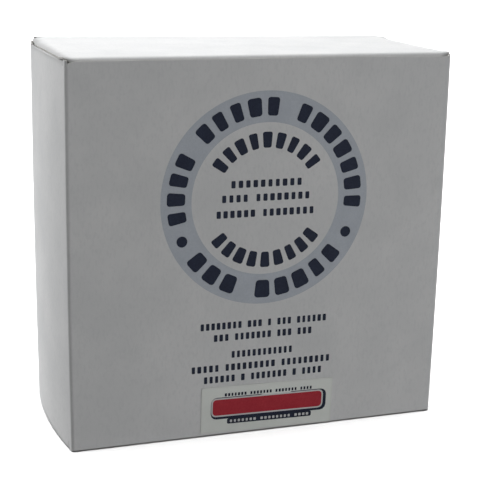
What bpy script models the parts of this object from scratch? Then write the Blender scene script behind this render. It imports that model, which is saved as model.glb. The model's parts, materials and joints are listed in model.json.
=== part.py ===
"""A gymnastics chalk carton: a folded paperboard box that holds eight pressed chalk blocks.

Metres, +Z up. The front panel faces -Y. The origin is under the middle of the carton,
at the level it stands on. The lid and the bottom panel are both hinged on the back panel,
and each ends in a tuck flap that slides in behind the front panel. Two dust flaps lie
under the lid, and two above the bottom panel. One sheet of board is cut and creased to
make all of them, so each panel between two creases is a piece of its own here.
"""

import math

import bmesh
import bpy

MM = 0.001

# ---------------------------------------------------------------- driving dimensions

HEIGHT = 127.0 * MM
WIDTH = 128.8 * MM
DEPTH = 58.0 * MM
BOARD = 0.55 * MM
GAP = 0.3 * MM
SIDE_BOW = 2.3 * MM
SIDE_BOW_TOP = 0.4 * MM
BOW_FADE_POWER = 3

FRONT_PANEL_FOOT = 0.6 * MM
FRONT_PANEL_DROP = 1.0 * MM
BOTTOM_RECESS = 0.3 * MM
LID_OVERHANG = 0.2 * MM

TUCK_LENGTH = 14.0 * MM
TUCK_LEAN = math.radians(12.0)
TUCK_SETBACK = 1.0 * MM
TUCK_HALF_WIDTH = 62.5 * MM
TUCK_CORNER = 9.0 * MM

DUST_TIP_X = 21.7 * MM
DUST_FRONT_CLEARANCE = 2.5 * MM
DUST_BACK_CLEARANCE = 2.7 * MM
DUST_FRONT_TAPER = 0.05
DUST_BACK_TAPER = 0.52
DUST_CORNER = 5.0 * MM

GLUE_FLAP_WIDTH = 15.0 * MM
GLUE_FLAP_INSET = 4.0 * MM

LABEL_SIZE = (47.0 * MM, 16.2 * MM)
LABEL_CENTRE = (2.7 * MM, 9.0 * MM)
LABEL_TILT = math.radians(-1.0)
LABEL_THICKNESS = 0.12 * MM
LABEL_CORNER = 0.6 * MM

BLOCK_WIDTH = 62.0 * MM
BLOCK_HEIGHT = 60.2 * MM
BLOCK_EDGE = 1.4 * MM
BLOCK_EDGE_STEPS = 2

CORNER_STEPS = 6
BOW_STEPS = 24
BOW_LEVELS = (0.0, 0.3, 0.5, 0.65, 0.8, 0.9, 1.0)

# ---------------------------------------------------------------- worked-out places

LABEL_PROUD = GAP + LABEL_THICKNESS
FRONT_Y = -DEPTH / 2 + LABEL_PROUD / 2
BACK_Y = DEPTH / 2 + LABEL_PROUD / 2
MIDDLE_Y = (FRONT_Y + BACK_Y) / 2

BOTTOM_Z = BOTTOM_RECESS
LID_UNDERSIDE = HEIGHT - BOARD
SIDE_TOP = LID_UNDERSIDE - GAP
BACK_FOOT = BOTTOM_Z + BOARD + GAP
FOLD_Y = FRONT_Y + BOARD + GAP
PANEL_LENGTH = BACK_Y - FOLD_Y

TUCK_TIP_Y = FOLD_Y + TUCK_LENGTH * math.sin(TUCK_LEAN) + BOARD * math.cos(TUCK_LEAN)
BLOCK_FRONT_Y = TUCK_TIP_Y + GAP
BLOCK_BACK_Y = BACK_Y - BOARD - GAP
BLOCK_DEPTH = (BLOCK_BACK_Y - BLOCK_FRONT_Y - GAP) / 2
BLOCK_FLOOR_Z = BACK_FOOT + BOARD + GAP


def bow_at(z):
    """The side walls' bow at height z. The folded top dust flaps hold it nearly straight there."""
    share = (z / SIDE_TOP) ** BOW_FADE_POWER
    return SIDE_BOW + (SIDE_BOW_TOP - SIDE_BOW) * share


def bow_x(y, inset, bow=SIDE_BOW):
    """Half-width of the carton at depth y, measured inside the bowed side's outer face."""
    radius = ((DEPTH / 2) ** 2 + bow**2) / (2 * bow)
    centre_x = WIDTH / 2 + bow - radius
    return centre_x + math.sqrt((radius - inset) ** 2 - (y - MIDDLE_Y) ** 2)


# ---------------------------------------------------------------- building helpers


def clear_scene():
    for item in list(bpy.data.objects):
        bpy.data.objects.remove(item, do_unlink=True)


def make_material(name, colour, roughness):
    material = bpy.data.materials.new(name)
    material.use_nodes = True
    shader = material.node_tree.nodes["Principled BSDF"]
    shader.inputs["Base Color"].default_value = (*colour, 1.0)
    shader.inputs["Roughness"].default_value = roughness
    shader.inputs["Metallic"].default_value = 0.0
    return material


def rounded_outline(corners):
    """A closed outline through (x, y, radius) corners, counterclockwise, with round corners."""
    points = []
    for i, (x, y, radius) in enumerate(corners):
        x0, y0, _ = corners[i - 1]
        x1, y1, _ = corners[(i + 1) % len(corners)]
        if radius <= 0:
            points.append((x, y))
            continue
        before = math.atan2(y0 - y, x0 - x)
        after = math.atan2(y1 - y, x1 - x)
        opening = (before - after) % (2 * math.pi)
        reach = radius / math.tan(opening / 2)
        bisector = after + opening / 2
        centre_x = x + radius / math.sin(opening / 2) * math.cos(bisector)
        centre_y = y + radius / math.sin(opening / 2) * math.sin(bisector)
        start_x = x + reach * math.cos(before)
        start_y = y + reach * math.sin(before)
        start = math.atan2(start_y - centre_y, start_x - centre_x)
        turn = math.pi - opening
        for step in range(CORNER_STEPS + 1):
            angle = start + turn * step / CORNER_STEPS
            points.append(
                (centre_x + radius * math.cos(angle), centre_y + radius * math.sin(angle))
            )
    return points


def sheet(name, outline, bottom, top, material):
    """A flat piece: the outline in the object's XY plane, filled from bottom to top along Z."""
    mesh = bpy.data.meshes.new(name)
    shape = bmesh.new()
    corners = [shape.verts.new((x, y, bottom)) for x, y in outline]
    face = shape.faces.new(corners)
    lifted = bmesh.ops.extrude_face_region(shape, geom=[face])["geom"]
    moved = [item for item in lifted if isinstance(item, bmesh.types.BMVert)]
    bmesh.ops.translate(shape, verts=moved, vec=(0.0, 0.0, top - bottom))
    bmesh.ops.recalc_face_normals(shape, faces=shape.faces)
    shape.to_mesh(mesh)
    shape.free()
    mesh.materials.append(material)
    piece = bpy.data.objects.new(name, mesh)
    bpy.context.scene.collection.objects.link(piece)
    return piece


def attach(child, parent):
    """Parents child to parent and keeps it where it is."""
    bpy.context.view_layer.update()
    child.parent = parent
    child.matrix_parent_inverse = parent.matrix_world.inverted()


def upright(piece, y):
    """Stands a sheet up, so that its XY plane faces -Y, with its Z = 0 plane at depth y."""
    piece.location = (0.0, y, 0.0)
    piece.rotation_euler = (math.radians(90.0), 0.0, 0.0)


# ---------------------------------------------------------------- the sleeve of four walls


def front_panel(board):
    """The wall that the tuck flaps slide in behind. Its top and bottom edges are cut edges."""
    half = bow_x(FRONT_Y, BOARD) - GAP
    top = HEIGHT - FRONT_PANEL_DROP
    outline = [
        (-half, FRONT_PANEL_FOOT),
        (half, FRONT_PANEL_FOOT),
        (half, top),
        (-half, top),
    ]
    upright(sheet("front_panel", outline, -BOARD, 0.0, board), FRONT_Y)


def back_panel(board):
    """The wall that carries the lid, the bottom panel and the glue flap."""
    half = bow_x(BACK_Y, BOARD) - GAP
    outline = [(-half, BACK_FOOT), (half, BACK_FOOT), (half, SIDE_TOP), (-half, SIDE_TOP)]
    upright(sheet("back_panel", outline, 0.0, BOARD, board), BACK_Y)


def bowed_strip(side, inset, y_start, y_end, bow):
    """Plan outline of a board strip that follows the bow, inset from the outer face."""
    outer = []
    inner = []
    for step in range(BOW_STEPS + 1):
        y = y_start + (y_end - y_start) * step / BOW_STEPS
        outer.append((side * bow_x(y, inset, bow), y))
        inner.append((side * bow_x(y, inset + BOARD, bow), y))
    return outer + inner[::-1]


def bowed_wall(name, side, inset, y_range, z_range, material):
    """A strip of board whose bow changes with height, built up from rings."""
    mesh = bpy.data.meshes.new(name)
    shape = bmesh.new()
    rings = []
    for level in BOW_LEVELS:
        z = z_range[0] + (z_range[1] - z_range[0]) * level
        outline = bowed_strip(side, inset, *y_range, bow_at(z))
        rings.append([shape.verts.new((x, y, z)) for x, y in outline])
    for low, high in zip(rings, rings[1:]):
        for step in range(len(low)):
            after = (step + 1) % len(low)
            shape.faces.new((low[step], low[after], high[after]))
            shape.faces.new((low[step], high[after], high[step]))
    shape.faces.new(rings[0][::-1])
    shape.faces.new(rings[-1])
    bmesh.ops.recalc_face_normals(shape, faces=shape.faces)
    shape.to_mesh(mesh)
    shape.free()
    mesh.materials.append(material)
    piece = bpy.data.objects.new(name, mesh)
    bpy.context.scene.collection.objects.link(piece)


def side_panel(name, side, board):
    """A side wall, pushed outward in the middle by the blocks. The carton stands on both."""
    bowed_wall(name, side, 0.0, (FRONT_Y, BACK_Y), (0.0, SIDE_TOP), board)


def glue_flap(board):
    """The flap that closes the sleeve: glued inside the right wall, hinged to the back panel."""
    back = BACK_Y - BOARD - GAP
    y_range = (back - GLUE_FLAP_WIDTH, back)
    z_range = (GLUE_FLAP_INSET, HEIGHT - GLUE_FLAP_INSET)
    bowed_wall("glue_flap", 1, BOARD + GAP, y_range, z_range, board)


# ---------------------------------------------------------------- the two closures


def closing_panel(name, half_width, z, outward, board):
    """The lid (outward 1) or the bottom panel (outward -1), its origin on the hinge."""
    outline = [
        (-half_width, -PANEL_LENGTH),
        (half_width, -PANEL_LENGTH),
        (half_width, 0.0),
        (-half_width, 0.0),
    ]
    low, high = sorted((0.0, -outward * BOARD))
    piece = sheet(name, outline, low, high, board)
    piece.location = (0.0, BACK_Y, z)
    return piece


def tuck_flap(name, z, outward, panel, board):
    """The flap along a closing panel's free edge, leaning inward behind the front panel."""
    outline = rounded_outline(
        [
            (-TUCK_HALF_WIDTH, -TUCK_LENGTH, TUCK_CORNER),
            (TUCK_HALF_WIDTH, -TUCK_LENGTH, TUCK_CORNER),
            (TUCK_HALF_WIDTH, -TUCK_SETBACK, 0.0),
            (-TUCK_HALF_WIDTH, -TUCK_SETBACK, 0.0),
        ]
    )
    low, high = sorted((0.0, -outward * BOARD))
    piece = sheet(name, outline, low, high, board)
    piece.location = (0.0, FOLD_Y, z)
    piece.rotation_euler = (outward * (math.radians(90.0) + TUCK_LEAN), 0.0, 0.0)
    attach(piece, panel)


def dust_flap(name, side, bow, axis_z, under, board):
    """A flap folded in from the top or bottom of a side wall, its origin on its fold.

    Its outer edge follows the bowed wall. Its back edge slopes away from the hinge of the
    closing panel, so that it stays clear while both open.
    """
    front = FRONT_Y + DUST_FRONT_CLEARANCE
    back = BACK_Y - DUST_BACK_CLEARANCE
    axis_x = WIDTH / 2 + bow
    run = bow_x(back, BOARD + GAP, bow) - DUST_TIP_X
    edge = []
    for step in range(BOW_STEPS + 1):
        y = front + (back - front) * step / BOW_STEPS
        edge.append((bow_x(y, BOARD + GAP, bow), y, 0.0))
    corners = [
        (DUST_TIP_X, back - DUST_BACK_TAPER * run, DUST_CORNER),
        (DUST_TIP_X, front + DUST_FRONT_TAPER * run, DUST_CORNER),
        *edge,
    ]
    outline = [(side * (x - axis_x), y) for x, y in rounded_outline(corners)]
    piece = sheet(name, outline, under, under + BOARD, board)
    piece.location = (side * axis_x, 0.0, axis_z)


def closures(board):
    lid_half = WIDTH / 2 + LID_OVERHANG
    bottom_half = bow_x(FRONT_Y, BOARD) - GAP
    lid = closing_panel("lid_panel", lid_half, HEIGHT, 1, board)
    tuck_flap("lid_tuck_flap", HEIGHT, 1, lid, board)
    bottom = closing_panel("bottom_panel", bottom_half, BOTTOM_Z, -1, board)
    tuck_flap("bottom_tuck_flap", BOTTOM_Z, -1, bottom, board)
    for word, side in (("left", -1), ("right", 1)):
        dust_flap(f"top_{word}_dust_flap", side, SIDE_BOW_TOP, SIDE_TOP, -BOARD, board)
        dust_flap(f"bottom_{word}_dust_flap", side, SIDE_BOW, 0.0, BACK_FOOT, board)


# ---------------------------------------------------------------- label and blocks


def front_label(paper):
    """A small adhesive label near the foot of the front panel, stuck on slightly askew."""
    half_x = LABEL_SIZE[0] / 2
    half_y = LABEL_SIZE[1] / 2
    outline = rounded_outline(
        [
            (-half_x, -half_y, LABEL_CORNER),
            (half_x, -half_y, LABEL_CORNER),
            (half_x, half_y, LABEL_CORNER),
            (-half_x, half_y, LABEL_CORNER),
        ]
    )
    piece = sheet("front_label", outline, GAP, LABEL_PROUD, paper)
    piece.location = (LABEL_CENTRE[0], FRONT_Y, LABEL_CENTRE[1])
    piece.rotation_euler = (math.radians(90.0), -LABEL_TILT, 0.0)


def chalk_block(name, centre, chalk):
    """One pressed block with worn edges, its origin at its middle."""
    half = (BLOCK_WIDTH / 2, BLOCK_DEPTH / 2, BLOCK_HEIGHT / 2)
    outline = [
        (-half[0], -half[1]),
        (half[0], -half[1]),
        (half[0], half[1]),
        (-half[0], half[1]),
    ]
    piece = sheet(name, outline, -half[2], half[2], chalk)
    worn = piece.modifiers.new("worn_edges", "BEVEL")
    worn.width = BLOCK_EDGE
    worn.segments = BLOCK_EDGE_STEPS
    worn.limit_method = "ANGLE"
    piece.location = centre
    return piece


def chalk_blocks(chalk):
    """Eight blocks, two across, two deep and two high. Each upper one stands on a lower one."""
    across = (("left", -1), ("right", 1))
    deep = (("front", BLOCK_FRONT_Y + BLOCK_DEPTH / 2), ("back", BLOCK_BACK_Y - BLOCK_DEPTH / 2))
    lower_z = BLOCK_FLOOR_Z + BLOCK_HEIGHT / 2
    upper_z = lower_z + BLOCK_HEIGHT + GAP
    for side_word, side in across:
        x = side * (BLOCK_WIDTH + GAP) / 2
        for depth_word, y in deep:
            place = f"{depth_word}_{side_word}"
            lower = chalk_block(f"chalk_block_lower_{place}", (x, y, lower_z), chalk)
            upper = chalk_block(f"chalk_block_upper_{place}", (x, y, upper_z), chalk)
            attach(upper, lower)


# ---------------------------------------------------------------- the whole carton


def build():
    clear_scene()
    board = make_material("white_board", (0.80, 0.81, 0.82), 0.62)
    paper = make_material("label_paper", (0.83, 0.85, 0.81), 0.45)
    chalk = make_material("pressed_chalk", (0.92, 0.92, 0.90), 0.95)
    front_panel(board)
    back_panel(board)
    side_panel("left_side_panel", -1, board)
    side_panel("right_side_panel", 1, board)
    glue_flap(board)
    closures(board)
    front_label(paper)
    chalk_blocks(chalk)
    bpy.context.view_layer.update()


build()
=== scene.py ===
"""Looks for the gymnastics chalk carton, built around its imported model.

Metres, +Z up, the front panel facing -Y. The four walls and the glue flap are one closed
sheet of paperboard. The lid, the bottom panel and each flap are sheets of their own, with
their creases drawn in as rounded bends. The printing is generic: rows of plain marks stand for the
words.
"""

import json
import math
import random

import bpy
import numpy as np
from mathutils import Matrix, Vector, noise


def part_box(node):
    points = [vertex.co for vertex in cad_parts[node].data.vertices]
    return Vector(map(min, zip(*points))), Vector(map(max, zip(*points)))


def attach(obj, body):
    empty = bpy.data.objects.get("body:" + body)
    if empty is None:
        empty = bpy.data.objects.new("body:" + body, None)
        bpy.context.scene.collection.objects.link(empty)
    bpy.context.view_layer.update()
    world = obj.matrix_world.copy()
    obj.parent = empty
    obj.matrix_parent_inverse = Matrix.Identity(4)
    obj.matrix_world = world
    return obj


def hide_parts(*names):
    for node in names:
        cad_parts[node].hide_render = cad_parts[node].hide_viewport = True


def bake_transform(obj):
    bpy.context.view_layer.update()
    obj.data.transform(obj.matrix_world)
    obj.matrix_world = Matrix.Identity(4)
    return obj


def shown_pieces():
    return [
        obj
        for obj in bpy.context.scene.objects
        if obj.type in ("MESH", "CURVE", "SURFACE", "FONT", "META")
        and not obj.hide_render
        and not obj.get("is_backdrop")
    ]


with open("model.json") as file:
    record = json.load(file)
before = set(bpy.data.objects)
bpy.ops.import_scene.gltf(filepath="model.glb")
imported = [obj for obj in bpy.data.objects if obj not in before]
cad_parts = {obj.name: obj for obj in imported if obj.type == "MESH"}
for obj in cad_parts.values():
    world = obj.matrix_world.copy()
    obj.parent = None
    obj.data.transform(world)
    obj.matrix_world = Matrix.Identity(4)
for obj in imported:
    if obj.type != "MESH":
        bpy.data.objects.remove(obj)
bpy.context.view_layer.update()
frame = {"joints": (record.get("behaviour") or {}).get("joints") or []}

MM = 0.001
SHEET_GAP = 0.05 * MM

# ---- places from the frame

FRONT_LOW, FRONT_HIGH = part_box("front_panel")
BACK_LOW, BACK_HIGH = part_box("back_panel")
SIDE_LOW, SIDE_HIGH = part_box("right_side_panel")
LID_LOW, LID_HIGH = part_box("lid_panel")
BOTTOM_LOW, BOTTOM_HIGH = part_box("bottom_panel")
DUST_LOW, DUST_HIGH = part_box("top_right_dust_flap")
BOTTOM_DUST_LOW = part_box("bottom_right_dust_flap")[0]
GLUE_LOW, GLUE_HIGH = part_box("glue_flap")
LABEL_LOW, LABEL_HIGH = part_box("front_label")

FRONT_Y = FRONT_LOW.y
BACK_Y = BACK_HIGH.y
MIDDLE_Y = (FRONT_Y + BACK_Y) / 2
BOARD = FRONT_HIGH.y - FRONT_LOW.y
FOLD_Y = LID_LOW.y
TUCK_FACE_Y = FRONT_HIGH.y + SHEET_GAP

HALF_DEPTH = (BACK_Y - FRONT_Y) / 2
HALF_WIDTH = SIDE_LOW.x + BOARD
FOOT_BOW = SIDE_HIGH.x - HALF_WIDTH
JOINTS = {joint["name"]: joint for joint in frame["joints"]}
TOP_BOW = JOINTS["top_right_dust_fold"]["pos_m"][0] - HALF_WIDTH
BOW_FADE_POWER = 3

# ---- sizes of the fine shape

SWELL = 0.7 * MM
SWELL_HEIGHT = 95.0 * MM
FRONT_BULGE = 0.25 * MM
FRONT_RIPPLE = 0.06 * MM

# Radii of the creases.
WALL_CREASE = 1.1 * MM
DUST_CREASE = 0.45 * MM
HINGE_CREASE = 0.8 * MM
TUCK_CREASE = 1.5 * MM
GLUE_CREASE = 0.6 * MM

# Seams, where the lid, the bottom panel and the dust flaps start as sheets of their own.
SEAM_DROP = 2.5 * MM
SEAM_STEP = 0.01 * MM
BACK_SEAM_HALF = 63.2 * MM
RELIEF_DEPTHS = (0.8 * MM, 1.4 * MM, 3.2 * MM, 5.5 * MM)
RELIEF_CUTS = (0.0, 0.9 * MM, 0.7 * MM)

# The walls' cut edges, and the posts that stand beside the seams.
CUT_SETBACK = 0.15 * MM
BACK_POST_DROP = 0.1 * MM
BACK_POST_RISE = 1.0 * MM
NICK_DEPTH = 0.9 * MM
NICK_REACH = 1.5 * MM
SLANT_DEPTH = 0.45 * MM
SLANT_START = 25.0 * MM
SLANT_REACH = 40.0 * MM
SLANT_END_REACH = 3.0 * MM
GLUE_GAP = 0.1 * MM
GLUE_FLARE = 1.5 * MM
GLUE_TAPER = 6.0 * MM

# How the lid stands up, and how its side edges and the bottom panel's curl inward.
LID_BACK_RISE = (1.45 * MM, 0.65 * MM)
LID_FRONT_RISE = 0.12 * MM
RISE_IN_CURL = 0.9
LID_CURL = 0.35 * MM
BOTTOM_CURL = 0.1 * MM
CURL_REACH = 3.5 * MM
CURL_BACK_FADE = 9.0 * MM
CURL_BACK_START = 0.4
CURL_FRONT_FADE = 8.0 * MM

# The tuck flaps. The last three are turns round the fold, in degrees.
TUCK_SEAM = 2.4 * MM
TUCK_LEAN = math.radians(12.0)
TUCK_END_ROUND = 0.5 * MM
TUCK_CORNER_CUT = 0.75 * MM
TUCK_TIP_RADIUS = 9.0 * MM
TUCK_CUT_START = 30
TUCK_CUT_TURN = 20
TUCK_NARROW_FROM = 75

DUST_TIP_RADIUS = 5.0 * MM
DUST_FRONT_TAPER = 0.05
DUST_BACK_TAPER = 0.52
DUST_SETTLE = 2.5 * MM
TOP_DUST_RELIEF = 2.5 * MM
RELIEF_TURN = math.radians(60.0)

# Reach of the scuffing and painted shade at edges and creases, and how far it is kept from some of
# them.
WALL_WEAR_AND_SHADE = 1.1 * MM
FLAP_WEAR_AND_SHADE = 1.4 * MM
# Painted shade: a broad grey band along the side edges of the lid, the bottom panel and the tucks.
SIDE_EDGE_SHADE = 2.0 * MM
LABEL_WEAR = 0.6 * MM
EDGE_CLEAN = 1.3 * MM
FOLD_CLEAN = 2.2 * MM

POST_STATIONS = 6
SIDE_STATIONS = 44
PANEL_COLUMNS = 56

LABEL_SIZE = (47.0 * MM, 16.2 * MM)
LABEL_TILT = math.radians(-1.0)
LABEL_LIFT = 0.03 * MM
LABEL_PAPER = 0.1 * MM
LABEL_CORNER = 0.6 * MM

RING_CENTRE = (0.4 * MM, 80.6 * MM)
RING_OUTER = 35.3 * MM
RING_INNER = 25.15 * MM
INK_LIFT = 0.02 * MM
INK_DEPTH = 0.06 * MM

BLOCK_GRID = 1.5 * MM
BLOCK_EDGE_REACH = 3.2 * MM

# ---- camera and studio

CAMERA_PLACE = (-141.49 * MM, -403.67 * MM, 167.19 * MM)
CAMERA_AZIMUTH = math.radians(-19.56)
CAMERA_ELEVATION = math.radians(14.08)
CAMERA_ROLL = math.radians(1.16)
CAMERA_LENS = 94.65

FLOOR_RADIUS = 30.0

# Place and brightness from below to above: floor bounce, horizon twice, ceiling.
WORLD_BANDS = ((0.47, 0.15), (0.495, 0.8), (0.57, 0.8), (0.64, 0.04))

OUTSIDE, INSIDE, CORE = 0, 1, 2


def bow_circle(bow):
    """Radius, and the x of the centre, of a side wall's outer face where it bows that much."""
    radius = (HALF_DEPTH**2 + bow**2) / (2 * bow)
    return radius, HALF_WIDTH + bow - radius


def bow_x(y, inset, bow=FOOT_BOW):
    """x of the bowed right wall at depth y, that far in from its outer face."""
    radius, centre_x = bow_circle(bow)
    return centre_x + np.sqrt((radius - inset) ** 2 - (y - MIDDLE_Y) ** 2)


def foot_share(z):
    """1 where a side wall has its whole bow, falling to 0 at its nearly straight top."""
    return 1 - np.clip(z / SIDE_HIGH.z, 0, 1) ** BOW_FADE_POWER


def swollen(x, z):
    """x on the filled carton, which is a little wider above than at its foot."""
    share = np.clip(z / SWELL_HEIGHT, 0, 1)
    return x * (1 + SWELL / HALF_WIDTH * share * (2 - share))


def front_face_y(x, z):
    """Depth of the front panel's outer face: a slight bulge and ripple, none at its edges."""
    across = 1 - (x / FRONT_HIGH.x) ** 2
    upward = 1 - ((z - FRONT_LOW.z) / (FRONT_HIGH.z - FRONT_LOW.z) * 2 - 1) ** 2
    free = np.clip(across, 0, 1) * np.clip(upward, 0, 1)
    ripple = np.sin(x * 61 + z * 34 + 0.8) * np.cos(z * 73 - x * 22)
    return FRONT_Y - FRONT_BULGE * free - FRONT_RIPPLE * ripple * np.sqrt(free)


# ---- mesh helpers


def eased(count):
    """Shares from 0 to 1, closer together towards both ends."""
    return (1 - np.cos(np.linspace(0, math.pi, count))) / 2


def smooth(value):
    """Smooth step from 0 to 1."""
    t = np.clip(value, 0, 1)
    return t * t * (3 - 2 * t)


def add_attribute(mesh, name, kind, field, values):
    attribute = mesh.attributes.new(name, kind, "POINT")
    attribute.data.foreach_set(field, np.asarray(values, np.float32).ravel())


def new_object(name, data):
    """An object in the scene for a mesh, light or camera."""
    item = bpy.data.objects.new(name, data)
    bpy.context.scene.collection.objects.link(item)
    return item


def finish_mesh(name, points, faces, slots, materials, wear_and_shade=None, sharp=40.0):
    """A mesh object with its rest places, and its edge scuffing and painted shade, stored for the
    materials.
    """
    mesh = bpy.data.meshes.new(name)
    mesh.from_pydata([tuple(point) for point in points], [], faces)
    for material in materials:
        mesh.materials.append(material)
    mesh.polygons.foreach_set("material_index", slots)
    mesh.polygons.foreach_set("use_smooth", [True] * len(faces))
    add_attribute(mesh, "rest", "FLOAT_VECTOR", "vector", points)
    add_attribute(mesh, "wear_and_shade", "FLOAT", "value", np.zeros(len(points)) if wear_and_shade is None else wear_and_shade)
    mesh.validate()
    mesh.update()
    mesh.set_sharp_from_angle(angle=math.radians(sharp))
    return new_object(name, mesh)


def rim_of(rows, columns):
    """Indices round the edge of a grid, in order."""
    top = list(range(columns))
    right = [row * columns + columns - 1 for row in range(1, rows)]
    bottom = [(rows - 1) * columns + column for column in range(columns - 2, -1, -1)]
    left = [row * columns for row in range(rows - 2, 0, -1)]
    return top + right + bottom + left


def closed_sheet(name, outer, inner, materials, wear_and_shade):
    """A closed piece of sheet from two matching grids of points, with cut faces round its rim."""
    rows, columns = outer.shape[:2]
    count = rows * columns
    faces = []
    slots = []
    for row in range(rows - 1):
        for column in range(columns - 1):
            a = row * columns + column
            b = a + columns
            faces.append((a, b, b + 1, a + 1))
            slots.append(OUTSIDE)
            faces.append((a + count, a + count + 1, b + count + 1, b + count))
            slots.append(INSIDE)
    rim = rim_of(rows, columns)
    for here, following in zip(rim, rim[1:] + rim[:1]):
        faces.append((here, following, following + count, here + count))
        slots.append(CORE)
    if turned_inward(outer, inner):
        faces = [face[::-1] for face in faces]
    points = np.concatenate([outer.reshape(-1, 3), inner.reshape(-1, 3)])
    points[:, 0] = swollen(points[:, 0], points[:, 2])
    both = np.concatenate([wear_and_shade.ravel(), wear_and_shade.ravel()])
    return finish_mesh(name, points, faces, slots, materials, both)


def turned_inward(outer, inner):
    """True if the grid's faces, as built, face from the outer grid towards the inner one."""
    row, column = outer.shape[0] // 2, outer.shape[1] // 2
    down = outer[row, column] - outer[row - 1, column]
    along = outer[row, column] - outer[row, column - 1]
    thickness = outer[row, column] - inner[row, column]
    return float(np.dot(np.cross(down, along), thickness)) < 0


def edge_falloff(rows_from_edge, columns_from_edge, reach):
    """A mask that fades from 1 at a sheet's edges over the reach, for scuffing and for painted
    shade.
    """
    nearest = np.minimum(rows_from_edge, columns_from_edge)
    return np.exp(-((nearest / reach) ** 2))


# ---- the four walls


class Path:
    """Stations in plan, each with its outward normal, lowest and highest z, and 1 on a crease."""

    def __init__(self):
        self.points = []
        self.normals = []
        self.foot = []
        self.top = []
        self.creased = []

    def add(self, points, normals, foot, top, creased=0.0):
        count = len(points)
        self.points.extend(points)
        self.normals.extend(normals)
        self.foot.extend(np.broadcast_to(foot, count))
        self.top.extend(np.broadcast_to(top, count))
        self.creased.extend(np.broadcast_to(creased, count))


def arc(centre, radius, angles):
    """Points and outward normals on an arc."""
    normals = np.stack([np.cos(angles), np.sin(angles)], axis=1)
    return np.array(centre) + radius * normals, normals


def mirrored(points, normals):
    """The same stations on the other side of the carton, in the opposite order."""
    flip = np.array([-1.0, 1.0])
    return (points * flip)[::-1], (normals * flip)[::-1]


def corner(y_face, inward, bow, inset=0.0, radius=WALL_CREASE):
    """Centre of the crease between a bow and a flat face, and the bow's angle at its start."""
    y = y_face + inward * radius
    x = float(bow_x(y, inset + radius, bow))
    return (x, y), math.atan2(y - MIDDLE_Y, x - bow_circle(bow)[1])


def bow_angle(y, bow, inset=0.0):
    return math.asin((y - MIDDLE_Y) / (bow_circle(bow)[0] - inset))


def spread(start, end, count):
    return start + (end - start) * eased(count)


def side_wall(path, side, end_angle, bow):
    """One bowed wall from its front crease to end_angle, with seams where the dust flaps start."""
    _, start_angle = corner(FRONT_Y, 1, bow)
    radius, centre_x = bow_circle(bow)
    dust_front = bow_angle(DUST_LOW.y, bow)
    dust_back = bow_angle(DUST_HIGH.y, bow)
    gap = SEAM_STEP / radius
    foot = SIDE_LOW.z
    seam_foot = BOTTOM_LOW.z + SEAM_DROP
    post_top = np.full(POST_STATIONS, LID_HIGH.z - BOARD)
    seam_top = np.full(SIDE_STATIONS, LID_HIGH.z - SEAM_DROP)
    rise = BACK_POST_RISE * smooth(np.linspace(0, 1, POST_STATIONS))
    back_top = SIDE_HIGH.z - BACK_POST_DROP + rise
    stretches = [
        (spread(start_angle, dust_front, POST_STATIONS), foot, post_top),
        (spread(dust_front + gap, dust_back - gap, SIDE_STATIONS), seam_foot, seam_top),
        (spread(dust_back, end_angle, POST_STATIONS), foot, back_top),
    ]
    for angles, low, high in stretches[::-side]:
        points, normals = arc((centre_x, MIDDLE_Y), radius, angles[::-1])
        if side < 0:
            points, normals = mirrored(points, normals)
        path.add(points, normals, low, high[::-side])


def front_top(x):
    """Height of the front panel's top cut: a nick at its left end, and a slant at its right."""
    nick = NICK_DEPTH * np.exp(-(((x + HALF_WIDTH) / NICK_REACH) ** 2))
    slant = smooth((x - SLANT_START) / SLANT_REACH) * smooth((HALF_WIDTH - x) / SLANT_END_REACH)
    return FRONT_HIGH.z - nick - SLANT_DEPTH * slant


def front_crease(path, side, bow):
    """The crease between the front panel and one side wall. Its foot drops to the wall's."""
    centre, bow_start = corner(FRONT_Y, 1, bow)
    share = np.linspace(0, 1, 8)[1:-1]
    angles = bow_start + (-math.pi / 2 - bow_start) * share
    points, normals = arc(centre, WALL_CREASE, angles)
    foot = SIDE_LOW.z + (FRONT_LOW.z - SIDE_LOW.z) * smooth(share)
    post_top = LID_HIGH.z - BOARD
    top = post_top + (front_top(side * HALF_WIDTH) - post_top) * smooth(share * 2 - 1)
    if side < 0:
        points, normals = mirrored(points, normals)
        foot = foot[::-1]
        top = top[::-1]
    path.add(points, normals, foot, top, 1.0)


def front_stretch(path, bow):
    """The front panel, from its right crease to its left one."""
    centre, _ = corner(FRONT_Y, 1, bow)
    xs = spread(centre[0], -centre[0], 72)
    points = np.stack([xs, np.full(len(xs), FRONT_Y)], axis=1)
    normals = np.tile([0.0, -1.0], (len(xs), 1))
    path.add(points, normals, FRONT_LOW.z, front_top(xs))


def back_stretch(path, bow):
    """The back panel between its two creases."""
    left_centre, left_angle = corner(BACK_Y, -1, bow)
    post = (BACK_LOW.z, SIDE_HIGH.z - BACK_POST_DROP + BACK_POST_RISE)
    seam = (BOTTOM_LOW.z + SEAM_DROP, LID_HIGH.z - SEAM_DROP)
    turn = np.linspace(left_angle, math.pi / 2, 8)[1:-1]
    points, normals = arc(left_centre, WALL_CREASE, turn[::-1])
    points, normals = mirrored(points, normals)
    path.add(points, normals, SIDE_LOW.z, post[1], 1.0)
    stretches = [
        (spread(-left_centre[0], -BACK_SEAM_HALF, 3), post),
        (spread(-BACK_SEAM_HALF + SEAM_STEP, BACK_SEAM_HALF - SEAM_STEP, 50), seam),
    ]
    for xs, (foot, top) in stretches:
        points = np.stack([xs, np.full(len(xs), BACK_Y)], axis=1)
        path.add(points, np.tile([0.0, 1.0], (len(xs), 1)), foot, top)


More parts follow.
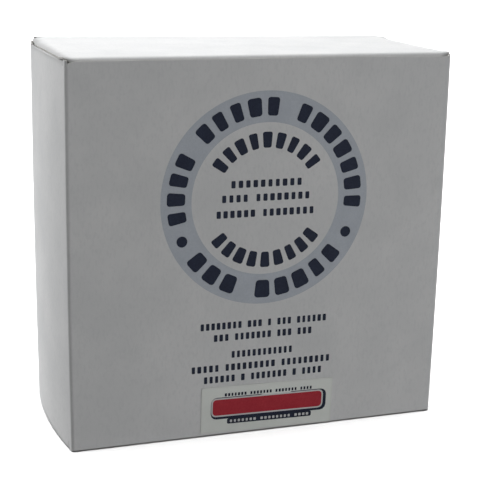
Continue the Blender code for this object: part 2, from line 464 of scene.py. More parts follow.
def glue_stretch(path, bow):
    """The glue flap, from its crease on the back panel forward inside the right wall."""
    inset = BOARD + GLUE_GAP
    centre, bow_start = corner(BACK_Y, -1, bow, inset, GLUE_CREASE)
    turn = np.linspace(math.pi / 2, bow_start, 8)
    points, normals = arc(centre, GLUE_CREASE, turn)
    path.add(points, normals, GLUE_LOW.z - GLUE_FLARE, GLUE_HIGH.z + GLUE_FLARE, 1.0)
    radius, centre_x = bow_circle(bow)
    angles = np.linspace(bow_start, bow_angle(GLUE_LOW.y, bow, inset), 10)[1:]
    points, normals = arc((centre_x, MIDDLE_Y), radius - inset, angles)
    taper = np.linspace(0, 1, len(angles)) ** 2 * GLUE_TAPER
    path.add(points, normals, GLUE_LOW.z + taper, GLUE_HIGH.z - taper)


def wall_path(bow):
    """The sleeve in plan at one bow, from the right wall's back edge round to the glue flap."""
    path = Path()
    _, back_angle = corner(BACK_Y, -1, bow)
    side_wall(path, 1, bow_angle(BACK_Y - CUT_SETBACK, bow), bow)
    front_crease(path, 1, bow)
    front_stretch(path, bow)
    front_crease(path, -1, bow)
    side_wall(path, -1, back_angle, bow)
    back_stretch(path, bow)
    glue_stretch(path, bow)
    return path


def carton_walls(boards):
    """Front, back, both bowed sides and the glue flap, as the one sheet that they really are."""
    path = wall_path(FOOT_BOW)
    above = wall_path(TOP_BOW)
    plan = np.array(path.points)
    foot = np.array(path.foot)[:, None]
    top = np.array(path.top)[:, None]
    z = foot + (top - foot) * eased(72)[None, :]
    share = foot_share(z)[:, :, None]
    face = share * plan[:, None, :] + (1 - share) * np.array(above.points)[:, None, :]
    normals = np.array(path.normals)
    depth = share * normals[:, None, :] + (1 - share) * np.array(above.normals)[:, None, :]
    on_front = np.isclose(normals[:, 1], -1.0)
    face[on_front, :, 1] = front_face_y(face[on_front, :, 0], z[on_front])
    outer = np.concatenate([face, z[:, :, None]], axis=2)
    inner = np.concatenate([face - BOARD * depth, z[:, :, None]], axis=2)
    step = np.linalg.norm(np.diff(plan, axis=0), axis=1)
    walked = np.concatenate([[0], np.cumsum(step)])
    creases = walked[np.array(path.creased) > 0.5]
    from_crease = np.abs(walked[:, None] - creases[None, :]).min(axis=1)
    from_cut = np.minimum(z - foot, top - z)
    # Scuffing and painted shade darken the board at its creases and cut edges.
    wear_and_shade = edge_falloff(EDGE_CLEAN + from_crease[:, None], EDGE_CLEAN + from_cut, WALL_WEAR_AND_SHADE)
    return closed_sheet("carton_walls", outer, inner, boards, wear_and_shade)


# ---- lid and bottom panel


def closing_profile(face_z, outward):
    """A closing panel in (y, z): up the back wall, round its crease, and to the tuck seam."""
    centre = (BACK_Y - HINGE_CREASE, face_z - outward * HINGE_CREASE)
    wall_z = np.linspace(face_z - outward * SEAM_DROP, centre[1], 5)[:-1]
    turn = np.linspace(0, math.pi / 2, 9)
    flat_y = spread(centre[0], FOLD_Y + TUCK_SEAM, 44)[1:]
    y = np.concatenate([
        np.full(4, BACK_Y),
        centre[0] + HINGE_CREASE * np.cos(turn),
        flat_y,
    ])
    z = np.concatenate([
        wall_z,
        centre[1] + outward * HINGE_CREASE * np.sin(turn),
        np.full(len(flat_y), face_z),
    ])
    normal_y = np.concatenate([np.ones(4), np.cos(turn), np.zeros(len(flat_y))])
    normal_z = outward * np.concatenate([np.zeros(4), np.sin(turn), np.ones(len(flat_y))])
    return y, z, normal_y, normal_z


def lid_rise(x, y, z):
    """How far the lid stands up, most of all at the left of its hinge. None at the foot."""
    left, right = LID_BACK_RISE
    across = (left + right) / 2 + (right - left) / 2 * x / HALF_WIDTH
    along = np.clip((y - FOLD_Y) / (BACK_Y - FOLD_Y), 0, 1)
    above_seam = smooth((z - LID_HIGH.z + SEAM_DROP) / SEAM_DROP)
    return (LID_FRONT_RISE + (across - LID_FRONT_RISE) * along) * above_seam


def across_sheet(name, profile, half, curl, boards, creased):
    """A sheet along a (y, z) profile, with a half-width at each station and curled side edges."""
    y, z, normal_y, normal_z = profile
    x = half[:, None] * (2 * eased(PANEL_COLUMNS)[None, :] - 1)
    from_side = half[:, None] - np.abs(x)
    ends = smooth((BACK_Y - y) / CURL_BACK_FADE - CURL_BACK_START)
    ends = ends * smooth((y - FOLD_Y) / CURL_FRONT_FADE)
    level = np.sign(curl) * normal_z * ends
    rise = lid_rise(x, y[:, None], z[:, None])
    curl_shape = np.clip(level, 0, 1)[:, None] * np.clip(1 - from_side / CURL_REACH, 0, 1) ** 2
    height = z[:, None] + rise - (curl + RISE_IN_CURL * rise) * curl_shape
    outer = np.stack([x, np.broadcast_to(y[:, None], x.shape), height], axis=2)
    depth = np.stack([np.zeros(len(y)), normal_y, normal_z], axis=1)
    inner = outer - BOARD * depth[:, None, :]
    wear_and_shade = edge_falloff(creased[:, None], from_side, FLAP_WEAR_AND_SHADE)
    # Painted shade: a wide grey band inside the side edges, standing for the shade under their
    # curl.
    wear_and_shade = wear_and_shade + edge_falloff(from_side, from_side, SIDE_EDGE_SHADE)
    return closed_sheet(name, outer, inner, boards, wear_and_shade)


def closing_panel(name, face_z, outward, half_width, curl, boards):
    """The lid or the bottom panel, with relief cuts by its crease to clear the walls' corners."""
    profile = closing_profile(face_z, outward)
    y, z = profile[0], profile[1]
    relief = [BACK_SEAM_HALF - cut for cut in RELIEF_CUTS]
    half = np.interp(BACK_Y - y, RELIEF_DEPTHS, [*relief, half_width])
    from_crease = np.hypot(y - BACK_Y, z - face_z)
    return across_sheet(name, profile, half, curl, boards, from_crease)


def tuck_profile(face_z, outward, length):
    """Profile of a tuck flap: from the panel's seam, round the fold, and down behind the front."""
    centre = (TUCK_FACE_Y + TUCK_CREASE, face_z - outward * TUCK_CREASE)
    flat_y = np.linspace(FOLD_Y + TUCK_SEAM, centre[0], 6)[:-1]
    turn = np.linspace(0, math.pi / 2 + TUCK_LEAN, 10)
    end_y = centre[0] - TUCK_CREASE * math.sin(turn[-1])
    end_z = centre[1] + outward * TUCK_CREASE * math.cos(turn[-1])
    run = spread(0, length, 26)[1:]
    y = np.concatenate([
        flat_y,
        centre[0] - TUCK_CREASE * np.sin(turn),
        end_y + run * math.sin(TUCK_LEAN),
    ])
    z = np.concatenate([
        np.full(5, face_z),
        centre[1] + outward * TUCK_CREASE * np.cos(turn),
        end_z - outward * run * math.cos(TUCK_LEAN),
    ])
    lean_y = np.full(len(run), -math.cos(TUCK_LEAN))
    lean_z = np.full(len(run), -math.sin(TUCK_LEAN))
    normal_y = np.concatenate([np.zeros(5), -np.sin(turn), lean_y])
    normal_z = outward * np.concatenate([np.ones(5), np.cos(turn), lean_z])
    walked = np.concatenate([
        centre[0] - flat_y,
        TUCK_CREASE * turn,
        TUCK_CREASE * turn[-1] + run,
    ])
    return (y, z, normal_y, normal_z), walked


def corner_inset(distance, radius):
    """How far a rounded corner pulls the side edge in, at a distance from the end edge."""
    short = np.clip(radius - distance, 0, radius)
    return radius - np.sqrt(radius**2 - short**2)


def tuck_flap(name, face_z, outward, half_width, curl, node, boards):
    """The flap on a closing panel's free edge, narrower than the panel, with round corners."""
    low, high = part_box(node)
    reach = face_z - low.z if outward > 0 else high.z - face_z
    length = reach / math.cos(TUCK_LEAN) - TUCK_CREASE
    profile, walked = tuck_profile(face_z, outward, length)
    turned = np.degrees(walked / TUCK_CREASE)
    past_fold = (profile[0] < TUCK_FACE_Y + TUCK_CREASE) * (turned > TUCK_NARROW_FROM)
    rounding = TUCK_END_ROUND * smooth(1 - (profile[0] - TUCK_FACE_Y) / TUCK_SEAM)
    rounding = rounding + TUCK_CORNER_CUT * smooth((turned - TUCK_CUT_START) / TUCK_CUT_TURN)
    half = half_width - rounding + (high.x - half_width + rounding) * past_fold
    half = half - corner_inset(walked[-1] - walked, TUCK_TIP_RADIUS)
    from_fold = np.hypot(profile[0] - FOLD_Y, profile[1] - face_z)
    from_end = np.minimum(walked[-1] - walked, FOLD_CLEAN + from_fold)
    return across_sheet(name, profile, half, curl, boards, from_end)


# ---- dust flaps


def dust_flap(name, side, bow, seam_z, fold_z, flat_z, relief, outward, boards):
    """A flap folded in from a side wall. Its crease follows the bow of the wall there."""
    tip_x = DUST_LOW.x
    front, back = DUST_LOW.y + SEAM_STEP, DUST_HIGH.y - SEAM_STEP
    columns = eased(34)
    crease_z = fold_z - outward * DUST_CREASE
    run = float(bow_x(back, BOARD, bow)) - tip_x
    rows = []
    for share in np.linspace(0, 1, 5)[:-1]:
        y = front + (back - front) * columns
        z = seam_z + (crease_z - seam_z) * share
        low_share = foot_share(z)
        x = low_share * bow_x(y, 0.0) + (1 - low_share) * bow_x(y, 0.0, TOP_BOW)
        rows.append(np.broadcast_arrays(x, y, z, 1.0, 0.0))
    for turn in np.linspace(0, math.pi / 2, 8):
        cut_back = back - relief * smooth(turn / RELIEF_TURN)
        y = front + (cut_back - front) * columns
        x = bow_x(y, DUST_CREASE, bow) + DUST_CREASE * math.cos(turn)
        z = crease_z + outward * DUST_CREASE * math.sin(turn)
        rows.append(np.broadcast_arrays(x, y, z, math.cos(turn), math.sin(turn)))
    for share in eased(30)[1:]:
        going = share * run
        left = run - going
        start = front + DUST_FRONT_TAPER * going + corner_inset(left, DUST_TIP_RADIUS)
        end = back - max(relief, DUST_BACK_TAPER * going) - corner_inset(left, DUST_TIP_RADIUS)
        y = start + (end - start) * columns
        crease_x = bow_x(front + (back - front) * columns, DUST_CREASE, bow)
        x = crease_x + (tip_x - crease_x) * share
        z = fold_z + (flat_z - fold_z) * smooth(going / DUST_SETTLE)
        rows.append(np.broadcast_arrays(x, y, z, 0.0, 1.0))
    x, y, z, out_x, out_z = (np.array([row[k] for row in rows]) for k in range(5))
    outer = np.stack([side * x, y, z], axis=2)
    depth = np.stack([side * out_x, np.zeros(x.shape), outward * out_z], axis=2)
    inner = outer - BOARD * depth
    from_crease = np.hypot(HALF_WIDTH + bow - x, z - fold_z)
    from_edge = np.minimum(y - y[:, :1], y[:, -1:] - y)
    # Scuffing and painted shade darken the flap at its crease and edges.
    wear_and_shade = edge_falloff(np.minimum(from_crease, x - tip_x), from_edge, FLAP_WEAR_AND_SHADE)
    return closed_sheet(name, outer, inner, boards, wear_and_shade)


# ---- printing


def rounded_rectangle(width, height, radius):
    """Outline of a bar round the origin, with round corners."""
    points = []
    for quarter in range(4):
        centre_u = (width / 2 - radius) * (1 if quarter in (0, 3) else -1)
        centre_v = (height / 2 - radius) * (1 if quarter in (0, 1) else -1)
        for step in range(4):
            angle = math.radians(90 * quarter + 30 * step)
            u = centre_u + radius * math.cos(angle)
            v = centre_v + radius * math.sin(angle)
            points.append((u, v))
    return points


def ellipse(width, height):
    turns = [math.radians(20 * step) for step in range(18)]
    return [(width / 2 * math.cos(turn), height / 2 * math.sin(turn)) for turn in turns]


def row_of_marks(groups, start, end, height, seed, fill=(0.52, 0.66)):
    """Plain upright bars between start and end, in groups with gaps, of slightly uneven width."""
    rng = random.Random(seed)
    units = sum(groups) + 0.8 * (len(groups) - 1)
    unit = (end - start) / units
    marks = []
    at = start
    for count in groups:
        for _ in range(count):
            width = unit * rng.uniform(*fill)
            outline = rounded_rectangle(width, height, min(width, height) * 0.22)
            marks.append([(at + unit / 2 + u, v) for u, v in outline])
            at += unit
        at += 0.8 * unit
    return marks


def on_line(marks, z):
    """The same marks, moved up to height z."""
    return [[(u, z + v) for u, v in mark] for mark in marks]


def on_arc(marks, radius, foot_outward=False):
    """Bends marks onto an arc about the ring's centre. u is in degrees from the top or foot."""
    sense = -1 if foot_outward else 1

    def place(u, v):
        turn = math.radians(u)
        x = RING_CENTRE[0] + (radius + v) * math.sin(turn)
        z = RING_CENTRE[1] + sense * (radius + v) * math.cos(turn)
        return x, z

    return [[place(u, v) for u, v in mark] for mark in marks]


def arc_marks(groups, start, end, radius, height, seed, foot_outward=False):
    """Bars along an arc, laid out in millimetres and then turned into degrees."""
    per_degree = math.radians(radius)
    marks = row_of_marks(groups, start * per_degree, end * per_degree, height, seed, (0.56, 0.76))
    in_degrees = [[(u / per_degree, v) for u, v in mark] for mark in marks]
    return on_arc(in_degrees, radius, foot_outward)


def print_piece(name, marks, ink, lift=INK_LIFT):
    """Thin closed patches of ink that follow the front face."""
    points = []
    faces = []
    for mark in marks:
        first = len(points)
        count = len(mark)
        for depth in (-lift, INK_DEPTH):
            for x, z in mark:
                points.append((swollen(x, z), float(front_face_y(x, z)) + depth, z))
        faces.append(tuple(range(first, first + count)))
        faces.append(tuple(range(first + 2 * count - 1, first + count - 1, -1)))
        for step in range(count):
            after = (step + 1) % count
            faces.append((first + step, first + count + step, first + count + after, first + after))
    piece = finish_mesh(name, points, faces, [0] * len(faces), [ink])
    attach(piece, "sleeve")
    return piece


def ring_band(ink):
    """The grey ring that frames the print, as one thin closed band."""
    turns = np.radians(np.linspace(0, 360, 181))[:, None]
    radii = np.linspace(RING_INNER, RING_OUTER, 9)[None, :]
    x = RING_CENTRE[0] + radii * np.sin(turns)
    z = RING_CENTRE[1] + radii * np.cos(turns)
    y = front_face_y(x, z)
    outer = np.stack([x, y - INK_LIFT / 2, z], axis=2)
    inner = np.stack([x, y + INK_DEPTH, z], axis=2)
    piece = closed_sheet("print_ring_band", outer, inner, [ink, ink, ink], np.zeros(x.shape))
    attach(piece, "sleeve")


def ring_marks(ink):
    """Broad marks round the ring, with two dots."""
    radius = 30.25 * MM
    height = 6.0 * MM
    marks = arc_marks((4, 5, 7), -105, 100, radius, height, 3)
    marks += arc_marks((3, 5), -56, 56, radius, height, 5, foot_outward=True)
    dots = [[(angle + u / math.radians(radius), v) for u, v in ellipse(3.6 * MM, 3.6 * MM)]
            for angle in (-114, 114)]
    marks += on_arc(dots, radius + 0.6 * MM)
    print_piece("print_ring_marks", marks, ink, 1.6 * INK_LIFT)


def inner_arc_marks(ink):
    """Two arcs of marks inside the ring, one over and one under the middle lines."""
    height = 5.2 * MM
    marks = arc_marks((9,), -60, 60, 19.5 * MM, height, 7)
    marks += arc_marks((9,), -57, 57, 20.25 * MM, height, 11, foot_outward=True)
    print_piece("print_inner_arcs", marks, ink)


def text_lines(name, lines, height, ink):
    """Lines of marks as one piece. Each line gives its z, start and end in mm, and its groups."""
    marks = []
    for seed, (z, start, end, groups) in enumerate(lines):
        row = row_of_marks(groups, start * MM, end * MM, height, seed + len(lines))
        marks += on_line(row, z * MM)
    print_piece(name, marks, ink)


def front_print(ink, grey_ink):
    """All the printing on the front panel."""
    ring_band(grey_ink)
    ring_marks(ink)
    inner_arc_marks(ink)
    middle = (
        (85.9, -12.1, 13.0, (10,)),
        (81.25, -15.1, 15.8, (4, 8)),
        (76.15, -16.8, 17.4, (6, 8)),
    )
    lower = (
        (38.6, -21.6, 23.2, (8, 3, 1, 3, 6)),
        (34.5, -17.0, 18.1, (3, 7, 3, 3)),
        (28.4, -10.8, 11.3, (12,)),
        (24.0, -24.6, 25.1, (5, 9, 9)),
        (20.1, -20.3, 22.2, (6, 1, 7, 1, 4)),
    )
    text_lines("print_middle_lines", middle, 2.4 * MM, ink)
    text_lines("print_lower_lines", lower, 2.35 * MM, ink)


# ---- label


def label_place(u, v):
    """From the label's own place to (x, z) on the front face."""
    centre_x = (LABEL_LOW.x + LABEL_HIGH.x) / 2
    centre_z = (LABEL_LOW.z + LABEL_HIGH.z) / 2
    x = centre_x + u * math.cos(LABEL_TILT) - v * math.sin(LABEL_TILT)
    z = centre_z + u * math.sin(LABEL_TILT) + v * math.cos(LABEL_TILT)
    return x, z


def label_lift(u, v):
    """How far the label stands off the board: a little at its corners, where it has let go."""
    corner_share = np.abs(u / LABEL_SIZE[0] * 2) ** 8 * np.abs(v / LABEL_SIZE[1] * 2) ** 4
    return LABEL_LIFT + LABEL_PAPER + 0.12 * MM * corner_share


def front_label(paper):
    """The adhesive label, low on the front panel."""
    v_rows = LABEL_SIZE[1] * (eased(20) - 0.5)
    half = LABEL_SIZE[0] / 2 - corner_inset(LABEL_SIZE[1] / 2 - np.abs(v_rows), LABEL_CORNER)
    u = half[:, None] * (2 * eased(40)[None, :] - 1)
    v = np.broadcast_to(v_rows[:, None], u.shape)
    x, z = label_place(u, v)
    y = front_face_y(x, z) - label_lift(u, v)
    outer = np.stack([x, y, z], axis=2)
    inner = outer + np.array([0.0, LABEL_PAPER, 0.0])
    wear_and_shade = edge_falloff(LABEL_SIZE[0] / 2 - np.abs(u), LABEL_SIZE[1] / 2 - np.abs(v), LABEL_WEAR)
    piece = closed_sheet("front_label_paper", outer, inner, [paper, paper, paper], wear_and_shade)
    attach(piece, "sleeve")
    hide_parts("front_label")


def label_print(name, marks, ink, lift):
    """Ink on the label, level with its paper."""
    placed = [[label_place(u, v) for u, v in mark] for mark in marks]
    piece = print_piece(name, placed, ink, LABEL_LIFT + LABEL_PAPER + lift)


def bar(centre, size, radius):
    """A round-cornered bar on the label, in millimetres from its middle."""
    outline = rounded_rectangle(size[0] * MM, size[1] * MM, radius * MM)
    return [(centre[0] * MM + u, centre[1] * MM + v) for u, v in outline]


def label_marks(navy, red, pale):
    """A row of marks, a red bar with a pale line and a navy edge, and a navy strip with marks."""
    top_marks = row_of_marks((7, 7, 7, 4), -15.6 * MM, 16.1 * MM, 1.1 * MM, 2)
    strip_marks = row_of_marks((7, 8, 4), -13.6 * MM, 15.4 * MM, 0.9 * MM, 4)
    top_marks = on_line(top_marks, 5.1 * MM)
    strip_marks = on_line(strip_marks, -4.35 * MM)
    label_print("label_print_top_line", top_marks, navy, INK_LIFT)
    label_print("label_print_bar_edge", [bar((0.6, 0.45), (41.5, 7.7), 2.0)], navy, INK_LIFT)
    label_print("label_print_bar_line", [bar((0.1, 0.75), (40.2, 6.6), 1.6)], pale, 2 * INK_LIFT)
    label_print("label_print_bar", [bar((0.1, 0.75), (39.2, 5.6), 1.2)], red, 3 * INK_LIFT)
    label_print("label_print_strip", [bar((0.9, -4.35), (30.4, 1.9), 0.5)], navy, INK_LIFT)
    label_print("label_print_strip_marks", strip_marks, pale, 2 * INK_LIFT)


# ---- chalk blocks


def block_axis(low, high):
    """Even places along one side of a block."""
    count = max(2, round((high - low) / BLOCK_GRID))
    return np.linspace(low, high, count + 1)


def block_shell(low, high):
    """Points and quads of a box's six sides, on a grid, with shared corners and edges."""
    axes = [block_axis(low[k], high[k]) for k in range(3)]
    index = {}
    faces = []
    for fixed in range(3):
        first, second = [k for k in range(3) if k != fixed]
        for end in (0, len(axes[fixed]) - 1):
            for a in range(len(axes[first]) - 1):
                for b in range(len(axes[second]) - 1):
                    loop = []
                    for step_a, step_b in ((0, 0), (1, 0), (1, 1), (0, 1)):
                        place = [0, 0, 0]
                        place[fixed] = end
                        place[first] = a + step_a
                        place[second] = b + step_b
                        loop.append(index.setdefault(tuple(place), len(index)))
                    outward = (end > 0) == (fixed != 1)
                    faces.append(tuple(loop if outward else loop[::-1]))
    points = [[axes[k][step] for k, step in enumerate(steps)] for steps in index]
    return np.array(points), faces


def worn_place(point, low, high, seed):
    """A block's surface point, pulled inward: worn edges, chips, pits and a powdery skin."""
    place = Vector(point)
    from_face = [min(place[k] - low[k], high[k] - place[k]) for k in range(3)]
    nearest = sorted(from_face)
    offset = Vector((seed * 3.7, seed * 1.9, seed * 5.3))
    chip = max(0.0, noise.noise(place * 95 + offset) - 0.28) * 9 * MM
    edge = max(0.0, 1 - nearest[1] / BLOCK_EDGE_REACH)
    rounding = (0.55 + 0.5 * noise.noise(place * 160 + offset)) * MM
    skin = (0.5 + 0.5 * noise.noise(place * 420 + offset)) * 0.22 * MM
    pit = max(0.0, noise.noise(place * 230 - offset) - 0.42) * 2.4 * MM
    pull = edge * edge * (rounding + chip) + skin + pit
    moved = Vector(place)
    for k in range(3):
        if from_face[k] < BLOCK_EDGE_REACH:
            inward = 1 if place[k] - low[k] < high[k] - place[k] else -1
            moved[k] += inward * pull * (1 - from_face[k] / BLOCK_EDGE_REACH)
    return moved


def chalk_block(place, seed, chalk):
    """One pressed block, standing for its CAD node."""
    node = f"chalk_block_{place}"
    low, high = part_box(node)
    points, faces = block_shell(low, high)
    moved = [worn_place(point, low, high, seed) for point in points]
    # How far each point is pulled in; the chalk's material paints shade into the deepest places.
    shift = np.linalg.norm(np.array([tuple(p) for p in moved]) - points, axis=1) / MM
    piece = finish_mesh(f"{node}_chalk", moved, faces, [0] * len(faces), [chalk], shift, 60.0)
    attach(piece, f"block_{place}")
    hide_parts(node)


# ---- materials


class Surface:
    """A node material and short calls that wire its textures in rest coordinates."""

    def __init__(self, name, roughness, specular=0.5):
        self.material = bpy.data.materials.new(name)
        self.material.use_nodes = True
        self.nodes = self.material.node_tree.nodes
        self.links = self.material.node_tree.links
        self.shader = self.nodes["Principled BSDF"]
        self.shader.inputs["Roughness"].default_value = roughness
        self.shader.inputs["Specular IOR Level"].default_value = specular

    def attribute(self, name):
        node = self.nodes.new("ShaderNodeAttribute")
        node.attribute_name = name
        return node

    def noise(self, scale, detail=4.0, stretch=(1, 1, 1), roughness=0.55):
        """Fractal noise with `scale` bumps to the metre."""
        mapping = self.nodes.new("ShaderNodeMapping")
        mapping.inputs["Scale"].default_value = stretch
        self.links.new(self.attribute("rest").outputs["Vector"], mapping.inputs["Vector"])
        node = self.nodes.new("ShaderNodeTexNoise")
        node.inputs["Scale"].default_value = scale
        node.inputs["Detail"].default_value = detail
        node.inputs["Roughness"].default_value = roughness
        self.links.new(mapping.outputs["Vector"], node.inputs["Vector"])
        return node.outputs["Fac"]

    def cells(self, scale):
        node = self.nodes.new("ShaderNodeTexVoronoi")
        node.inputs["Scale"].default_value = scale
        self.links.new(self.attribute("rest").outputs["Vector"], node.inputs["Vector"])
        return node.outputs["Distance"]

    def remap(self, socket, low, high, to_low, to_high):
        node = self.nodes.new("ShaderNodeMapRange")
        for name, value in (
            ("From Min", low), ("From Max", high), ("To Min", to_low), ("To Max", to_high),
        ):
            node.inputs[name].default_value = value
        self.links.new(socket, node.inputs["Value"])
        return node.outputs["Result"]

    def mix(self, factor, first, second):
        """Mixes two colours, each a plain colour or another node's output."""
        node = self.nodes.new("ShaderNodeMix")
        node.data_type = "RGBA"
        self.links.new(factor, node.inputs["Factor"])
        for name, value in (("A", first), ("B", second)):
            socket = [s for s in node.inputs if s.name == name and s.type == "RGBA"][0]
            if isinstance(value, tuple):
                socket.default_value = (*value, 1.0)
            else:
                self.links.new(value, socket)
        return [s for s in node.outputs if s.type == "RGBA"][0]

    def tint(self, socket, low, high, first, second):
        """The first colour where the socket is at `low`, the second one where it is at `high`."""
        return self.mix(self.remap(socket, low, high, 0, 1), first, second)

    def wear_and_shade(self):
        return self.attribute("wear_and_shade").outputs["Fac"]

    def multiply(self, first, second):
        node = self.nodes.new("ShaderNodeMath")
        node.operation = "MULTIPLY"
        self.links.new(first, node.inputs[0])
        self.links.new(second, node.inputs[1])
        return node.outputs["Value"]

    def bump(self, socket, distance, strength=1.0, under=None):
        node = self.nodes.new("ShaderNodeBump")
        node.inputs["Distance"].default_value = distance
        node.inputs["Strength"].default_value = strength
        self.links.new(socket, node.inputs["Height"])
        if under is not None:
            self.links.new(under, node.inputs["Normal"])
        return node.outputs["Normal"]

    def finish(self, colour, normal, roughness=None):
        self.links.new(colour, self.shader.inputs["Base Color"])
        self.links.new(normal, self.shader.inputs["Normal"])
        if roughness is not None:
            self.links.new(roughness, self.shader.inputs["Roughness"])
        return self.material


def coated_board():
    """The white outside of the board: faint mottling, fibres under the coat, scuffed creases, and
    painted shade darkening its creases and edges.
    """
    surface = Surface("coated_board", 0.6, 0.0)
    mottle = surface.noise(55, 5.0)
    fibre = surface.noise(1300, 3.0, (1, 1, 0.45))
    dimple = surface.noise(150, 3.0)
    colour = surface.tint(mottle, 0.35, 0.65, (0.725, 0.733, 0.737), (0.782, 0.786, 0.788))
    flecks = surface.remap(fibre, 0.28, 0.52, 1.0, 0.0)
    colour = surface.mix(surface.remap(flecks, 0, 1, 0, 0.35), colour, (0.63, 0.64, 0.65))
    # Scuffing and painted shade: creases, cut edges and the closing panels' side edges are mixed
    # towards grey.
    grime_and_shade = surface.multiply(surface.wear_and_shade(), surface.noise(420, 4.0))
    colour = surface.mix(surface.remap(grime_and_shade, 0.2, 0.8, 0.0, 0.5), colour, (0.52, 0.52, 0.51))
    rubbed_and_shade = surface.remap(surface.wear_and_shade(), 0.1, 2.0, 0.0, 0.75)
    colour = surface.mix(rubbed_and_shade, colour, (0.42, 0.425, 0.43))
    roughness = surface.remap(dimple, 0.3, 0.7, 0.56, 0.70)
    normal = surface.bump(fibre, 0.02 * MM, 0.6)
    normal = surface.bump(dimple, 0.10 * MM, 0.7, normal)
    return surface.finish(colour, normal, roughness)


def plain_board():
    """The uncoated inside of the board: greyer, with visible fibres and a bloom of chalk."""
    surface = Surface("plain_board", 0.85, 0.2)
    fibre = surface.noise(900, 5.0, (1, 1, 0.3), 0.7)
    cloud = surface.noise(40, 4.0)
    colour = surface.tint(fibre, 0.35, 0.65, (0.50, 0.48, 0.44), (0.66, 0.645, 0.60))
    colour = surface.mix(surface.remap(cloud, 0.45, 0.75, 0, 0.6), colour, (0.80, 0.80, 0.79))
    normal = surface.bump(fibre, 0.05 * MM, 0.8)
    return surface.finish(colour, normal)


def cut_edge():
    """The raw cut edge of the board: layered grey fibre."""
    surface = Surface("board_cut_edge", 0.9, 0.2)
    layers = surface.noise(1800, 4.0, (0.3, 0.3, 1))
    colour = surface.tint(layers, 0.3, 0.7, (0.44, 0.43, 0.41), (0.66, 0.65, 0.63))
    return surface.finish(colour, surface.bump(layers, 0.04 * MM, 0.8))


def label_stock():
    """Thin white label paper with a slight sheen."""
    surface = Surface("label_stock", 0.4, 0.4)
    fibre = surface.noise(1500, 3.0)
    cloud = surface.noise(90, 3.0)
    colour = surface.tint(cloud, 0.35, 0.65, (0.73, 0.76, 0.725), (0.78, 0.805, 0.77))
    worn = surface.remap(surface.wear_and_shade(), 0.3, 1.0, 0.0, 0.3)
    colour = surface.mix(worn, colour, (0.62, 0.62, 0.60))
    normal = surface.bump(fibre, 0.012 * MM, 0.6)
    return surface.finish(colour, normal, surface.remap(cloud, 0.3, 0.7, 0.34, 0.46))


def printed_ink(name, dark, light, roughness, specular):
    """Ink that lets a little of the paper's grain through."""
    surface = Surface(name, roughness, specular)
    grain = surface.noise(1700, 4.0)
    cloud = surface.noise(170, 3.0)
    colour = surface.tint(surface.multiply(grain, cloud), 0.12, 0.42, dark, light)
    return surface.finish(colour, surface.bump(grain, 0.012 * MM, 0.5))


def pressed_chalk():
    """Pressed magnesium carbonate: matt white powder with pits and loose crumbs, with painted shade
    darkening its pits, chips and worn edges.
    """
    surface = Surface("pressed_chalk", 0.95, 0.15)
    powder = surface.noise(1400, 6.0, (1, 1, 1), 0.7)
    crumbs = surface.cells(700)
    cloud = surface.noise(70, 4.0)
    colour = surface.tint(cloud, 0.35, 0.65, (0.74, 0.74, 0.72), (0.82, 0.82, 0.81))
    # Painted shade: the deeper a point is pulled in, the greyer the chalk.
    painted_hollow_shade = surface.remap(surface.wear_and_shade(), 0.3, 1.6, 0.0, 0.45)
    colour = surface.mix(painted_hollow_shade, colour, (0.66, 0.66, 0.645))
    normal = surface.bump(powder, 0.16 * MM, 0.8)
    normal = surface.bump(crumbs, 0.10 * MM, 0.5, normal)
    return surface.finish(colour, normal)


def floor_paint():
    surface = Surface("studio_floor", 0.9, 0.1)
    grain = surface.noise(6, 3.0)
    colour = surface.tint(grain, 0.3, 0.7, (0.70, 0.70, 0.70), (0.72, 0.72, 0.72))
    return surface.finish(colour, surface.bump(grain, 0.01 * MM, 0.1))


# ---- the carton's pieces


def make_walls(boards):
    walls = carton_walls(boards)
    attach(walls, "sleeve")
    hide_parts("front_panel", "back_panel", "left_side_panel", "right_side_panel", "glue_flap")


def make_closure(word, face_z, outward, half_width, curl, boards):
    """A closing panel and its tuck flap, each a sheet of its own with its crease drawn in."""
    panel_node = "lid_panel" if word == "lid" else "bottom_panel"
    tuck_node = f"{word}_tuck_flap"
    panel = closing_panel(f"{word}_sheet", face_z, outward, half_width, curl, boards)
    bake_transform(panel)
    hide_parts(panel_node)
    tuck = tuck_flap(f"{word}_tuck_sheet", face_z, outward, half_width, curl, tuck_node, boards)
    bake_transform(tuck)
    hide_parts(tuck_node)


def make_dust_flaps(level, bow, seam_z, fold_z, flat_z, relief, outward, boards):
    for word, side in (("left", -1), ("right", 1)):
        name = f"{level}_{word}_dust"
        flap = dust_flap(
            f"{name}_sheet", side, bow, seam_z, fold_z, flat_z, relief, outward, boards
        )
        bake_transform(flap)
        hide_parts(f"{name}_flap")


def make_blocks(chalk):
    seed = 1
    for level in ("lower", "upper"):
        for depth in ("front", "back"):
            for side in ("left", "right"):
                chalk_block(f"{level}_{depth}_{side}", seed, chalk)
                seed += 1


# ---- studio


def studio():
    """A wide pale floor. It gives no bounce: the world's lower half stands for that, evenly."""
    corners = [(FLOOR_RADIUS * math.cos(turn), FLOOR_RADIUS * math.sin(turn), 0.0)
               for turn in (math.radians(6 * step) for step in range(60))]
    floor = finish_mesh("studio_floor", corners, [tuple(range(60))], [0], [floor_paint()])
    floor.visible_diffuse = False
    floor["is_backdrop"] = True
    return floor


def only_on(lamp, name, receivers):
    """Lets a light shine only on the objects in receivers."""
    lit = bpy.data.collections.new(name)
    for item in receivers:
        lit.objects.link(item)
    lamp.light_linking.receiver_collection = lit


def soft_sun(name, direction, strength, spread_degrees):
    """A far soft light that shines from `direction`."""
    data = bpy.data.lights.new(name, "SUN")
    data.energy = strength
    data.angle = math.radians(spread_degrees)
    lamp = new_object(name, data)
    lamp.rotation_euler = Vector(direction).to_track_quat("Z", "Y").to_euler()
    return lamp


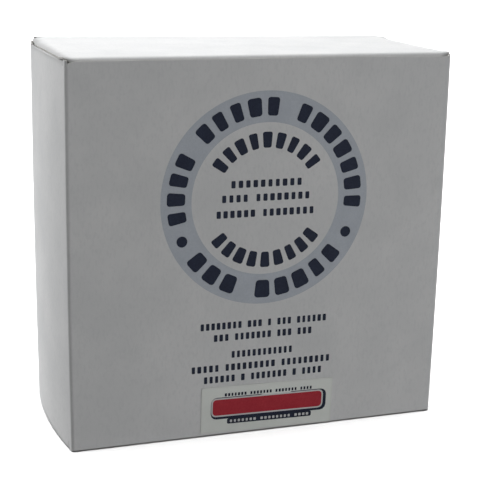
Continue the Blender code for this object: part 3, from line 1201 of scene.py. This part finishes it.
def soft_box(name, place, aim, size, power):
    """A square studio light at `place`, turned towards `aim`."""
    data = bpy.data.lights.new(name, "AREA")
    data.size = size
    data.energy = power
    lamp = new_object(name, data)
    lamp.location = place
    lamp.rotation_euler = (Vector(place) - Vector(aim)).to_track_quat("Z", "Y").to_euler()
    lamp.visible_camera = False
    return lamp


def studio_walls():
    """World light: the floor's even bounce below, a pale band round the horizon, a dim ceiling."""
    world = bpy.data.worlds.new("studio_walls")
    bpy.context.scene.world = world
    world.use_nodes = True
    nodes, links = world.node_tree.nodes, world.node_tree.links
    place = nodes.new("ShaderNodeTexCoord")
    split = nodes.new("ShaderNodeSeparateXYZ")
    ramp = nodes.new("ShaderNodeValToRGB")
    links.new(place.outputs["Generated"], split.inputs["Vector"])
    shift = nodes.new("ShaderNodeMapRange")
    shift.inputs["From Min"].default_value = -1.0
    links.new(split.outputs["Z"], shift.inputs["Value"])
    links.new(shift.outputs["Result"], ramp.inputs["Fac"])
    stops = ramp.color_ramp.elements
    for position, _ in WORLD_BANDS[1:-1]:
        stops.new(position)
    for stop, (position, level) in zip(stops, WORLD_BANDS):
        stop.position = position
        stop.color = (level, level, level, 1.0)
    links.new(ramp.outputs["Color"], nodes["Background"].inputs["Color"])


def camera():
    """The camera at the photograph's place and angle."""
    data = bpy.data.cameras.new("camera")
    data.lens = CAMERA_LENS
    data.sensor_width = 36.0
    data.clip_start = 0.02
    data.clip_end = 60.0
    turn = Matrix.Rotation(CAMERA_AZIMUTH, 4, "Z")
    tip = Matrix.Rotation(math.pi / 2 - CAMERA_ELEVATION, 4, "X")
    roll = Matrix.Rotation(CAMERA_ROLL, 4, "Z")
    lens = new_object("camera", data)
    lens.matrix_world = Matrix.Translation(CAMERA_PLACE) @ turn @ tip @ roll
    bpy.context.scene.camera = lens


# ---- put it together


camera()
floor = studio()
studio_walls()
only_on(soft_sun("floor_light", (0.0, 0.1, 1.0), 9.0, 60), "floor_lit", [floor])
carton_lights = [
    soft_sun("key_light", (-0.18, 0.43, 0.88), 2.2, 24),
    soft_box("top_light", (-0.05, 0.10, 0.45), (0.0, 0.0, 0.13), 0.06, 0.66),
    soft_box("side_light", (-0.24, 0.26, 0.02), (-0.06, 0.0, 0.04), 0.16, 0.98),
    soft_box("fill_light", (0.68, -0.40, 0.04), (0.0, 0.0, 0.05), 0.40, 2.67),
    soft_box("corner_light", (-0.45, -0.45, 0.05), (-0.06, -0.03, 0.05), 0.30, 0.28),
]
bpy.context.scene.view_settings.view_transform = "Standard"

boards = [coated_board(), plain_board(), cut_edge()]
navy = printed_ink("navy_ink", (0.008, 0.011, 0.024), (0.018, 0.024, 0.045), 0.6, 0.12)
grey = printed_ink("grey_ink", (0.43, 0.465, 0.515), (0.50, 0.535, 0.585), 0.55, 0.3)
red = printed_ink("red_ink", (0.34, 0.014, 0.028), (0.42, 0.026, 0.04), 0.45, 0.2)
pale = printed_ink("pale_ink", (0.60, 0.60, 0.60), (0.66, 0.66, 0.66), 0.45, 0.3)

make_walls(boards)
make_closure("lid", LID_HIGH.z, 1, LID_HIGH.x, LID_CURL, boards)
make_closure("bottom", BOTTOM_LOW.z, -1, BOTTOM_HIGH.x, -BOTTOM_CURL, boards)
top_seam_z = LID_HIGH.z - SEAM_DROP
make_dust_flaps("top", TOP_BOW, top_seam_z, DUST_HIGH.z, DUST_HIGH.z, TOP_DUST_RELIEF, 1, boards)
bottom_fold_z = BOTTOM_LOW.z + SHEET_GAP
make_dust_flaps(
    "bottom", FOOT_BOW, BOTTOM_LOW.z + SEAM_DROP, bottom_fold_z, BOTTOM_DUST_LOW.z, 0.0, -1, boards
)
front_print(navy, grey)
front_label(label_stock())
label_marks(navy, red, pale)
make_blocks(pressed_chalk())
for lamp in carton_lights:
    only_on(lamp, f"{lamp.name}_lit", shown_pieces())
